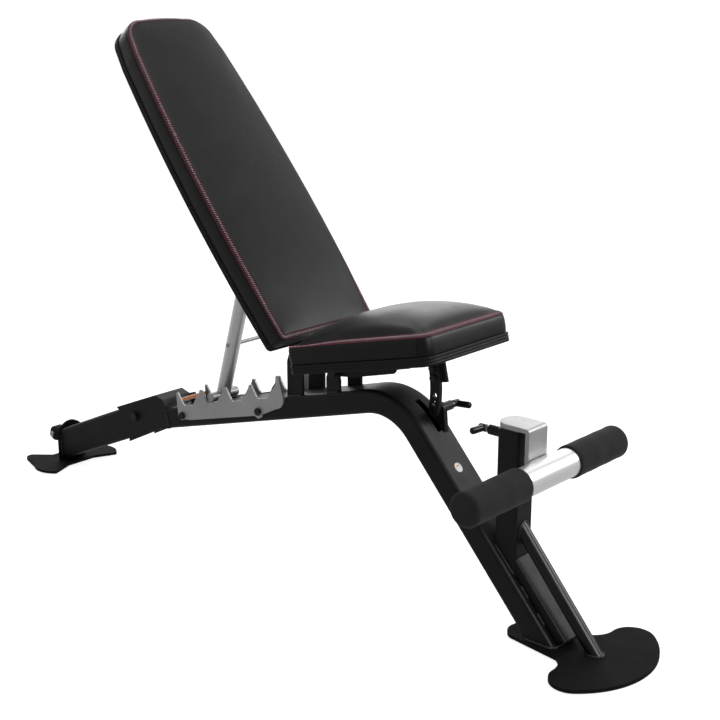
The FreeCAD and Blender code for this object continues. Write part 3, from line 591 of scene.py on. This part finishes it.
def stitches(name, place, line, inset, height, spacing, length, radius, material, body, slant=0.0):
    """One row of stitches: small tapered threads that follow the cover and dip into it at both ends."""
    fine = around(line, 2.0)
    row = around(fine + inward(fine) * inset, spacing)
    count = len(row)
    inwards = inward(row)
    ahead = np.roll(row, -1, axis=0) - np.roll(row, 1, axis=0)
    ahead /= np.linalg.norm(ahead, axis=1)[:, None]
    turn = math.radians(slant)
    across = np.stack([-ahead[:, 1], ahead[:, 0]], axis=1)
    ahead = ahead * math.cos(turn) + across * math.sin(turn)
    side = np.stack([-ahead[:, 1], ahead[:, 0]], axis=1)
    # share of the length, lift and width in radii: both ends dip under the cover
    half_shape = [(0.12, 0.45, 1.0), (0.36, 0.15, 0.9), (0.5, -0.9, 0.35)]
    shape = [(-share, lift, width) for share, lift, width in half_shape[::-1]] + half_shape
    points, faces = [], []
    for k in range(count):
        base = len(points)
        for share, lift, width in shape:
            for corner in range(6):
                turn = corner * math.pi / 3
                across = side[k] * (math.cos(turn) * radius * width)
                p = row[k] + ahead[k] * (share * length) + across
                cover = float(shoulder_height(inset + (p - row[k]) @ inwards[k], p[0]))
                points.append((p[0], p[1], cover + height + lift * radius + math.sin(turn) * radius * width))
        rings = len(shape)
        for a in range(rings - 1):
            for c in range(6):
                d = (c + 1) % 6
                faces.append((base + a * 6 + c, base + a * 6 + d, base + a * 6 + 6 + d, base + a * 6 + 6 + c))
        faces.append(tuple(base + c for c in reversed(range(6))))
        faces.append(tuple(base + (rings - 1) * 6 + c for c in range(6)))
    return make(name, place.out(points), faces, material, body)


def sewn(prefix, place, line):
    """The decorative seam: a red row by the seam, pale slanted stitches, a red row in the channel."""
    stitches(prefix + "_stitch_seam", place, line, SEAM_ROW, 0.35, 4.2, 3.5, 0.66,
             RED_THREAD, prefix)
    stitches(prefix + "_stitch_band", place, line, BAND_ROW, 0.22, 3.9, 4.8, 0.52,
             PALE_THREAD, prefix, 58.0)
    stitches(prefix + "_stitch_inner", place, line, STITCH_IN, 0.50, 4.2, 3.5, 0.62,
             RED_THREAD, prefix)


def ribbed_trim(name, place, line, profile, body, node):
    """Plastic edge moulding swept round a board, with its closed top and recessed base."""
    ring = around(line, 4.0)
    normal = inward(ring)
    count = len(ring)
    points, faces = [], []
    for inset, z in profile:
        loop = ring + normal * inset
        points += [(x, y, z) for x, y in loop]
    for r in range(len(profile) - 1):
        for a in range(count):
            b = (a + 1) % count
            faces.append((r * count + a, r * count + b, (r + 1) * count + b, (r + 1) * count + a))
    faces.append(tuple(range(count))[::-1])
    last = (len(profile) - 1) * count
    faces.append(tuple(range(last, last + count)))
    obj = make(name, place.out(points), faces, M["trim_plastic"], body)
    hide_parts(node)
    return obj


def rib_profile(top, height, ribs):
    """Half-round ribs between shallow grooves, then a lip and a recess underneath."""
    rows = [(7.0, top), (1.4, top), (0.4, top - 0.25), (0.0, top - 0.9)]
    pitch = (height - 1.6) / ribs
    z = top - 0.8
    for k in range(ribs):
        for share, inset in ((0.18, 0.25), (0.4, -0.1), (0.6, -0.1), (0.82, 0.25)):
            rows.append((inset, z - pitch * share))
        if k < ribs - 1:
            rows.append((1.5, z - pitch * 0.96))
            rows.append((1.5, z - pitch * 1.04))
        z -= pitch
    bottom = top - height
    rows += [(0.5, bottom + 0.25), (1.5, bottom), (7.0, bottom), (7.6, bottom + 0.6), (8.0, bottom + 4.0)]
    return rows


def ribbon(name, place, paths, radius, material, body):
    """Thin rolled beads along short lines given in the pad's own frame."""
    points, faces = [], []
    for path in paths:
        path = np.array(path, float)
        ahead = np.gradient(path, axis=0)
        ahead /= np.linalg.norm(ahead, axis=1)[:, None]
        base = len(points)
        for p, t in zip(path, ahead):
            a = np.cross(t, (0.31, 0.77, 0.56))
            a /= np.linalg.norm(a)
            b = np.cross(t, a)
            for c in range(6):
                turn = c * math.pi / 3
                points.append(p + (a * math.cos(turn) + b * math.sin(turn)) * radius)
        for k in range(len(path) - 1):
            for c in range(6):
                d = (c + 1) % 6
                faces.append((base + k * 6 + c, base + k * 6 + d, base + k * 6 + 6 + d, base + k * 6 + 6 + c))
        faces.append(tuple(base + c for c in reversed(range(6))))
        faces.append(tuple(base + (len(path) - 1) * 6 + c for c in range(6)))
    return make(name, place.out(points), faces, material, body)


# ---- seat ----
SEAT_TILT = math.radians(13.3)
SEAT = Local((119, 0, 465.2), (math.cos(SEAT_TILT), 0, math.sin(SEAT_TILT)), (0, 1, 0))
SEAT_LEN = 330.0
SEAT_T = 32.6
SEAT_TRIM = 16.7


def seat_line(grow):
    rear, front, r = 127.0 + grow, 118.0 + grow, 20.0
    x0, x1 = -grow * 0.3, SEAT_LEN + grow
    c = r * 0.3
    return outline([
        (x0, -rear + 10), ("arc", (x0 + 3, -rear + 3), (x0 + 10, -rear)), (x1 - r, -front),
        ("arc", (x1 - c, -front + c), (x1, -front + r)), (x1, front - r),
        ("arc", (x1 - c, front - c), (x1 - r, front)), (x0 + 10, rear),
        ("arc", (x0 + 3, rear - 3), (x0, rear - 10))])


def rotated(line, first, others):
    """Turns a closed line so that it starts at the first corner, and finds the other corners in it."""
    def near(p):
        return int(np.argmin(np.linalg.norm(line - np.array(p), axis=1)))
    shift = near(first)
    turned = np.roll(line, -shift, axis=0)
    found = [0] + [int((near(p) - shift) % len(line)) for p in others]
    return turned, found


PEAK = 46.0          # height of the seat's crown above its seam, mm
PEAK_AT = 190.0      # how far forward the crown is highest, mm
REAR_FALL = 20.0     # how much lower the crown runs out at the rear edge
FRONT_FALL = 25.0    # and at the front edge


def seat_crown(x, y, d):
    behind = np.clip((PEAK_AT - x) / PEAK_AT, 0, 1)
    before = np.clip((x - PEAK_AT) / (SEAT_LEN - PEAK_AT), 0, 1)
    ridge = PEAK - REAR_FALL * behind ** 2 - FRONT_FALL * before ** 1.8
    half = 127 - 9 * x / SEAT_LEN
    across = 1 - np.clip(np.abs(y) / half, 0, 1) ** 3.2
    rear = smooth_step((x - 6) / 34)
    front = np.clip((SEAT_LEN - x) / 62, 0, 1)
    ends = rear * (1 - (1 - front) ** 3.0)
    return np.maximum(ridge - WELT, 0) * across * ends * smooth_step((d - 8.6) / 9)


dense = around(seat_line(0.0), RIM_STEP)
# the cushion's grid wants the rear edge first, then the +y side, the front edge and the -y side
turned, marks = rotated(dense[::-1], (3, -124), [(3, 124), (SEAT_LEN - 6, 112), (SEAT_LEN - 6, -112)])
seat_pad, seat_free = cushion("seat_cushion", SEAT, turned, marks, SEAT_T, seat_crown, 6.5)
finish_pad(seat_pad, seat_free, "seat", "seat_pad", 0.0035, 3.0)
sewn("seat", SEAT, dense)
ribbed_trim("seat_trim", SEAT, seat_line(2.5), rib_profile(-33.2, SEAT_TRIM, 3), "seat", "seat_board")
corner_seams = []
for side in (-1, 1):
    for away in (-1.0, 1.0):
        levels = np.linspace(-1.5, -31.5, 12)
        swell = 0.5 + 0.9 * np.sin(np.linspace(0.1, 3.0, 12))
        corner_seams.append([(SEAT_LEN - 22 + away, side * (118.5 + s), z) for s, z in zip(swell, levels)])
ribbon("seat_boxing_seam", SEAT, corner_seams, 0.55, M["pad_leather"], "seat")

# ---- back ----
BACK_ANGLE = math.radians(50.8)
BACK = Local((108, 0, 479), (-math.cos(BACK_ANGLE), 0, math.sin(BACK_ANGLE)), (0, -1, 0))
BACK_LEN = 726.0
BACK_T = 36.6


def back_line(grow):
    low, wide, top = 126.0 + grow, 134.0 + grow, 108.0 + grow
    x1, x0 = BACK_LEN + grow, -grow * 0.3
    return outline([
        (x0, -low + 12), ("arc", (x0 + 3, -low + 3), (x0 + 12, -low)),
        ("arc", (300, -wide), (640, -top - 8)), (x1 - 42, -top),
        ("arc", (x1 - 13, -top + 18), (x1 - 3, -top + 52)),
        ("arc", (x1, 0), (x1 - 3, top - 52)), ("arc", (x1 - 13, top - 18), (x1 - 42, top)),
        (640, top + 8), ("arc", (300, wide), (x0 + 12, low)), ("arc", (x0 + 3, low - 3), (x0, low - 12))], 40)


def back_crown(x, y, d):
    across = 1 - np.clip(np.abs(y) / 134, 0, 1) ** 2.6
    drift = 0.25 * np.sin(x / 61.0 + 0.6) * np.sin(y / 47.0 + 1.1)
    return (2.5 * across + drift) * smooth_step((d - 8.6) / 22)


dense = around(back_line(0.0), RIM_STEP)[::-1]
turned, marks = rotated(dense, (3, -123), [(3, 123), (713, 90), (713, -90)])
back_pad, back_free = cushion("back_cushion", BACK, turned, marks, BACK_T, back_crown, 7.5)
finish_pad(back_pad, back_free, "back", "back_pad", 0.0030, 2.5)
sewn("back", BACK, dense)
ribbed_trim("back_trim", BACK, back_line(2.5), rib_profile(-37.2, 10.7, 2), "back", "back_board")


# ------------------------------------------------------------------ foam sleeves
def sleeve(name, node, outer):
    """Foam tube with a softly rolled rim, a shallow waist and a domed closed end."""
    low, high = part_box(node)
    middle = (low + high) / 2
    radius = (high.z - low.z) / 2
    inner_y, outer_y = (low.y, high.y) if outer > 0 else (high.y, low.y)
    length = abs(outer_y - inner_y)
    bore = 0.0135
    rows = [(0.004, bore), (0.0, bore + 0.0015), (0.0, radius - 0.0052), (0.0009, radius - 0.0022),
            (0.0026, radius - 0.0007), (0.0052, radius - 0.0001)]
    for k in range(1, 22):
        share = k / 22
        wave = 0.00022 * math.sin(share * 19.0 + 1.0) + 0.00012 * math.sin(share * 47.0)
        rows.append((0.0052 + (length - 0.0132) * share, radius - 0.0003 + wave))
    edge = 0.0080
    for k in range(0, 9):
        turn = math.pi / 2 * k / 8
        rows.append((length - edge + edge * math.sin(turn), radius - edge + edge * math.cos(turn)))
    face = radius - edge
    for share in (0.8, 0.6, 0.45, 0.3, 0.15):
        rows.append((length - 0.0004 * (1 - share), face * share))
    count = 72
    points, faces = [], []
    for along, r in rows:
        for c in range(count):
            turn = 2 * math.pi * c / count
            y = inner_y + along * (1 if outer_y > inner_y else -1)
            points.append((middle.x + r * math.cos(turn), y, middle.z + r * math.sin(turn)))
    for r in range(len(rows) - 1):
        for c in range(count):
            d = (c + 1) % count
            faces.append((r * count + c, r * count + d, (r + 1) * count + d, (r + 1) * count + c))
    last = (len(rows) - 1) * count
    faces.append(tuple(range(last, last + count)))
    obj = make(name, points, faces, M["foam_black"], "leg_holder")
    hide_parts(node)
    return obj


sleeve("foam_sleeve_left", "foam_pad_left", 1)
sleeve("foam_sleeve_right", "foam_pad_right", -1)


# ------------------------------------------------------------------ weld beads
def bead(name, paths, radius, body):
    """Rippled fillet welds along open or closed lines, millimetres in the bench's own frame."""
    points, faces = [], []
    for path, closed in paths:
        path = np.array(path, float)
        if closed:
            path = np.vstack([path, path[:1]])
        length = np.linalg.norm(np.diff(path, axis=0), axis=1).sum()
        count = max(8, int(length / 0.9))
        line = resample(path, np.linspace(0, 1, count))
        ahead = np.gradient(line, axis=0)
        ahead /= np.maximum(np.linalg.norm(ahead, axis=1), 1e-9)[:, None]
        base = len(points)
        for k, (p, t) in enumerate(zip(line, ahead)):
            a = np.cross(t, (0.23, 0.41, 0.88))
            a /= np.linalg.norm(a)
            b = np.cross(t, a)
            ripple = 1 + 0.10 * math.sin(k * 2 * math.pi / 3.4) + 0.08 * math.sin(k * 0.37)
            ends = 1 if closed else min(1, 0.45 + 0.25 * min(k, count - 1 - k))
            for c in range(8):
                turn = c * math.pi / 4
                points.append(p + (a * math.cos(turn) + b * math.sin(turn)) * radius * ripple * ends)
        for k in range(count - 1):
            for c in range(8):
                d = (c + 1) % 8
                faces.append((base + k * 8 + c, base + k * 8 + d, base + k * 8 + 8 + d, base + k * 8 + 8 + c))
        faces.append(tuple(base + c for c in reversed(range(8))))
        faces.append(tuple(base + (count - 1) * 8 + c for c in range(8)))
    return make(name, np.array(points) * MM, faces, WELD, body)


RISE = math.radians(15.62)
FALL = math.radians(48.0)
BEND = np.array([261.6, 0, 250.6])
BEND_R = 118.0
HALF_W, HALF_H = 38.0, 23.0
ALONG_LEG = np.array([math.cos(FALL), 0, -math.sin(FALL)])
LEG_UP = np.array([math.sin(FALL), 0, math.cos(FALL)])
LEG_AT = BEND + BEND_R * LEG_UP
ALONG_BEAM = np.array([math.cos(RISE), 0, math.sin(RISE)])
BEAM_UP = np.array([-math.sin(RISE), 0, math.cos(RISE)])
BEAM_AT = BEND + BEND_R * BEAM_UP - ALONG_BEAM * 613.0


def leg_top(x, lift=0.0):
    at = LEG_AT + LEG_UP * (HALF_H + lift)
    return at[2] - math.tan(FALL) * (x - at[0])


def beam_top(x, lift=0.0):
    at = BEAM_AT + BEAM_UP * (HALF_H + lift)
    return at[2] + math.tan(RISE) * (x - at[0])


def leg_x(z, lift):
    at = LEG_AT + LEG_UP * lift
    return at[0] + (at[2] - z) / math.tan(FALL)


post = [(x, y, leg_top(x)) for x, y in ((528, -20), (528, 20), (533, 25), (568, 25), (573, 20), (573, -20),
                                       (568, -25), (533, -25))]
bead("weld_post", [(post, True)], 2.3, "frame")
stiff_start = LEG_AT + ALONG_LEG * 205 + LEG_UP * HALF_H
stiff_end = LEG_AT + ALONG_LEG * 420 + LEG_UP * HALF_H
runs = []
for y in (-23.5, 23.5):
    a = stiff_start + (0, y, 0)
    b = stiff_end + (0, y, 0)
    for k in range(4):
        s0, s1 = 0.08 + 0.25 * k, 0.20 + 0.25 * k
        x0 = 573 + 4
        p, q = a + (b - a) * s0, a + (b - a) * s1
        if p[0] > x0:
            runs.append(([p, q], False))
bead("weld_stiffener", runs, 2.0, "frame")
low_x, high_x = leg_x(10.6, -HALF_H), leg_x(10.6, HALF_H)
foot = [(low_x, -HALF_W + 7, 10.8), (low_x, HALF_W - 7, 10.8),
        (low_x + 8, HALF_W, 10.8), (high_x - 8, HALF_W, 10.8),
        (high_x, HALF_W - 7, 10.8), (high_x, -HALF_W + 7, 10.8),
        (high_x - 8, -HALF_W, 10.8), (low_x + 8, -HALF_W, 10.8)]
bead("weld_leg_foot", [(foot, True)], 3.0, "frame")
BRACE_A = np.array([561.0, 0, 206.0])
BRACE_B = np.array([742.0, 0, -6.0])
BRACE_R = 12.7
axis = (BRACE_B - BRACE_A) / np.linalg.norm(BRACE_B - BRACE_A)
side_up = np.array([axis[2], 0, -axis[0]])
top_ring, low_ring = [], []
for k in range(28):
    turn = 2 * math.pi * k / 28
    off = side_up * (BRACE_R * math.cos(turn)) + np.array([0, BRACE_R * math.sin(turn), 0])
    p = BRACE_A + off
    top_ring.append(p + axis * ((573.3 - p[0]) / axis[0]))
    low_ring.append(p + axis * ((10.5 - p[2]) / axis[2]))
bead("weld_brace", [(top_ring, True), (low_ring, True)], 2.0, "frame")
feet_lines = []
for x0, x1 in ((26, 67), (131, 165)):
    for y in (-33.6, 33.6):
        feet_lines.append(([(x, y, beam_top(x)) for x in (x0 + 1, x1 - 1)], False))
bead("weld_pivot_plates", feet_lines, 2.2, "frame")
stand = [(x, y, 250.6 + math.sqrt((BEND_R + HALF_H) ** 2 - (x - 261.6) ** 2)) for y in (24.4,)
         for x in (348, 356, 362)]
ring_at = BEAM_AT + ALONG_BEAM * 24.5
wrap = []
for y, n in ((-38.2, -15), (-38.2, 15), (-31, 23.3), (31, 23.3), (38.2, 15), (38.2, -15)):
    wrap.append(ring_at + BEAM_UP * n + (0, y, 0))
bead("weld_sleeve", [(wrap, False), (stand, False)], 2.2, "frame")
strap_lines = []
for z, x in ((332.5, 599.5), ):
    strap_lines.append(([(x, -26.5, z), (x, 26.5, z)], False))
bead_strap = bead("weld_bracket", strap_lines, 2.0, "leg_holder")
bead_strap.data.materials.clear()
bead_strap.data.materials.append(M["silver_paint"])
rear_ring = [(-743.4, y, z) for y, z in ((-30.4, 20), (-30.4, 68), (-24, 76), (24, 76), (30.4, 68), (30.4, 20))]
bead("weld_rear_foot", [(rear_ring, False)], 2.2, "rear_leg")


# ------------------------------------------------------------------ blank labels
def label(name, centre, ex, ey, size, material, body, corner=0.3, lift=0.25):
    """Thin rounded vinyl patch with a turned edge, lying on a flat face. Sizes in millimetres."""
    ex = np.array(ex, float)
    ey = np.array(ey, float)
    up = np.cross(ex, ey)
    half_a, half_b = size[0] / 2, size[1] / 2
    r = min(half_a, half_b) * corner
    ring = []
    for sx, sy, t0 in ((1, 1, 0), (-1, 1, 90), (-1, -1, 180), (1, -1, 270)):
        for k in range(7):
            turn = math.radians(t0 + 15 * k)
            ring.append((sx * (half_a - r) + r * math.cos(turn), sy * (half_b - r) + r * math.sin(turn)))
    points, faces = [], []
    count = len(ring)
    for scale_in, h in ((0.0, 0.0), (0.0, lift * 0.7), (0.25, lift), (2.0, lift * 1.05)):
        for a, b in ring:
            reach = math.hypot(a, b)
            keep = max(reach - scale_in, 0) / max(reach, 1e-6)
            points.append(np.array(centre) + ex * a * keep + ey * b * keep + up * h)
    for k in range(3):
        for c in range(count):
            d = (c + 1) % count
            faces.append((k * count + c, k * count + d, (k + 1) * count + d, (k + 1) * count + c))
    faces.append(tuple(range(3 * count, 4 * count)))
    faces.append(tuple(range(count))[::-1])
    return make(name, np.array(points) * MM, faces, material, body, smooth=False)


dot_at = np.array([429.0, -3.0, leg_top(429.0)])
label("leg_sticker", dot_at, ALONG_LEG, (0, 1, 0), (19, 17), WHITE_LABEL, "frame", 1.0)
label("leg_sticker_mark", dot_at + LEG_UP * 0.2 - ALONG_LEG * 3, ALONG_LEG, (0, 1, 0), (3.4, 9), ORANGE_LABEL,
      "frame", 0.2)
REAR_TILT = math.radians(23.5)
REAR_X = np.array([math.cos(REAR_TILT), 0, math.sin(REAR_TILT)])
REAR_UP = np.array([-math.sin(REAR_TILT), 0, math.cos(REAR_TILT)])
label("rear_leg_label", np.array([-447, 0, 186]) - REAR_X * 155 + REAR_UP * 27.05 + (0, -14, 0), REAR_X, (0, 1, 0),
      (50, 15), WHITE_LABEL, "rear_leg", 0.15)

label("tie_bar_label", BEAM_AT + ALONG_BEAM * 78 + BEAM_UP * 40, ALONG_BEAM, (0, 1, 0), (5, 70), ORANGE_LABEL,
      "frame", 0.2)
label("tie_bar_face_label", BEAM_AT + ALONG_BEAM * 81 + BEAM_UP * 36, (0, 1, 0), BEAM_UP, (70, 6), ORANGE_LABEL,
      "frame", 0.2)

# ------------------------------------------------------------------ studio
# The floor stays out of reflections, and a white ring behind it is seen by the camera only.
floor_mat, tree, shader = start("studio_floor", 0.85, 0.0, 0.1)
shader.inputs["Emission Color"].default_value = (1, 1, 1, 1)
shader.inputs["Emission Strength"].default_value = 0.84
tree.links.new(ramp(tree, noise(tree, coords(tree), 3.0, 4.0), [(0.3, grey(0.36)), (0.7, grey(0.39))]),
               shader.inputs["Base Color"])
FLOOR_HALF = 60.0    # m
floor_points = [(x * FLOOR_HALF, y * FLOOR_HALF, 0) for x, y in ((-1, -1), (1, -1), (1, 1), (-1, 1))]
floor = make("studio_floor", floor_points, [(0, 1, 2, 3)], floor_mat, None, smooth=False)
floor.visible_glossy = False

backdrop_mat, tree, shader = start("studio_backdrop", 0.9, 0.0, 0.0)
shader.inputs["Emission Color"].default_value = (1, 1, 1, 1)
shader.inputs["Emission Strength"].default_value = 1.0
tree.links.new(ramp(tree, noise(tree, coords(tree), 0.5, 2.0), [(0.3, grey(0.40)), (0.7, grey(0.42))]),
               shader.inputs["Base Color"])
WALL_PARTS = 64
WALL_R = FLOOR_HALF * 0.97
wall_turns = [2 * math.pi * k / WALL_PARTS for k in range(WALL_PARTS)]
wall_points = [(WALL_R * math.cos(t), WALL_R * math.sin(t), z) for z in (-0.2, 40.0) for t in wall_turns]
wall_faces = [(k, (k + 1) % WALL_PARTS, WALL_PARTS + (k + 1) % WALL_PARTS, WALL_PARTS + k)
              for k in range(WALL_PARTS)]
backdrop = make("studio_backdrop", wall_points, wall_faces, backdrop_mat, None, smooth=False)
backdrop.visible_diffuse = False
backdrop.visible_glossy = False
backdrop.visible_shadow = False

scene = bpy.context.scene
world = bpy.data.worlds.new("studio")
scene.world = world
world.use_nodes = True
wt = world.node_tree
sky = wt.nodes["Background"]
direction = wt.nodes.new("ShaderNodeTexCoord")
facing = wt.nodes.new("ShaderNodeVectorMath")
facing.operation = "DOT_PRODUCT"
facing.inputs[1].default_value = (-0.62, 0.70, 0.35)
wt.links.new(direction.outputs["Generated"], facing.inputs[0])
wt.links.new(ramp(wt, spread(wt, facing.outputs["Value"], 0.0, 1.0, -1.0, 1.0),
                  [(0.0, grey(0.18)), (0.45, grey(0.26)), (0.78, grey(0.62)), (1.0, grey(0.72))]),
             sky.inputs["Color"])
sky.inputs["Strength"].default_value = 1.0
scene.view_settings.view_transform = "Standard"


def area_light(name, at, towards, width, height, power):
    light = bpy.data.lights.new(name, "AREA")
    light.shape = "RECTANGLE"
    light.size = width
    light.size_y = height
    light.energy = power
    obj = bpy.data.objects.new(name, light)
    scene.collection.objects.link(obj)
    obj.location = at
    obj.visible_camera = False
    obj.rotation_mode = "QUATERNION"
    obj.rotation_quaternion = (Vector(towards) - Vector(at)).to_track_quat("-Z", "Y")
    return obj


area_light("overhead", (0.2, -0.4, 3.2), (0.0, 0.0, 0.4), 3.0, 2.4, 34)
area_light("front_fill", (3.4, -0.2, 2.2), (0.3, 0.0, 0.4), 1.8, 1.6, 60)
area_light("back_soft", (-2.3, 2.4, 1.15), (0.25, 0.0, 0.5), 2.6, 1.5, 14)
area_light("leg_sheen", (2.3, 2.6, 1.9), (0.5, 0.0, 0.3), 1.8, 1.4, 40)
area_light("side_rim", (-2.6, 0.6, 2.2), (0.0, 0.0, 0.5), 1.2, 2.0, 22)
area_light("back_rim", (-1.0, 2.8, 2.2), (0.1, 0.0, 0.5), 2.6, 1.4, 16)

AZ, EL = math.radians(42.0), math.radians(16.0)
CAMERA_AT = (1.823, -1.816, 1.130)
back = Vector((math.sin(AZ) * math.cos(EL), -math.cos(AZ) * math.cos(EL), math.sin(EL)))
right = Vector((math.cos(AZ), math.sin(AZ), 0))
up = back.cross(right)
lens = bpy.data.cameras.new("camera")
lens.lens = 67.5
lens.sensor_width = 36.0
lens.clip_start, lens.clip_end = 0.05, 200.0
camera = bpy.data.objects.new("camera", lens)
scene.collection.objects.link(camera)
camera.matrix_world = Matrix((
    (right.x, up.x, back.x, CAMERA_AT[0]),
    (right.y, up.y, back.y, CAMERA_AT[1]),
    (right.z, up.z, back.z, CAMERA_AT[2]),
    (0, 0, 0, 1)))
scene.camera = camera
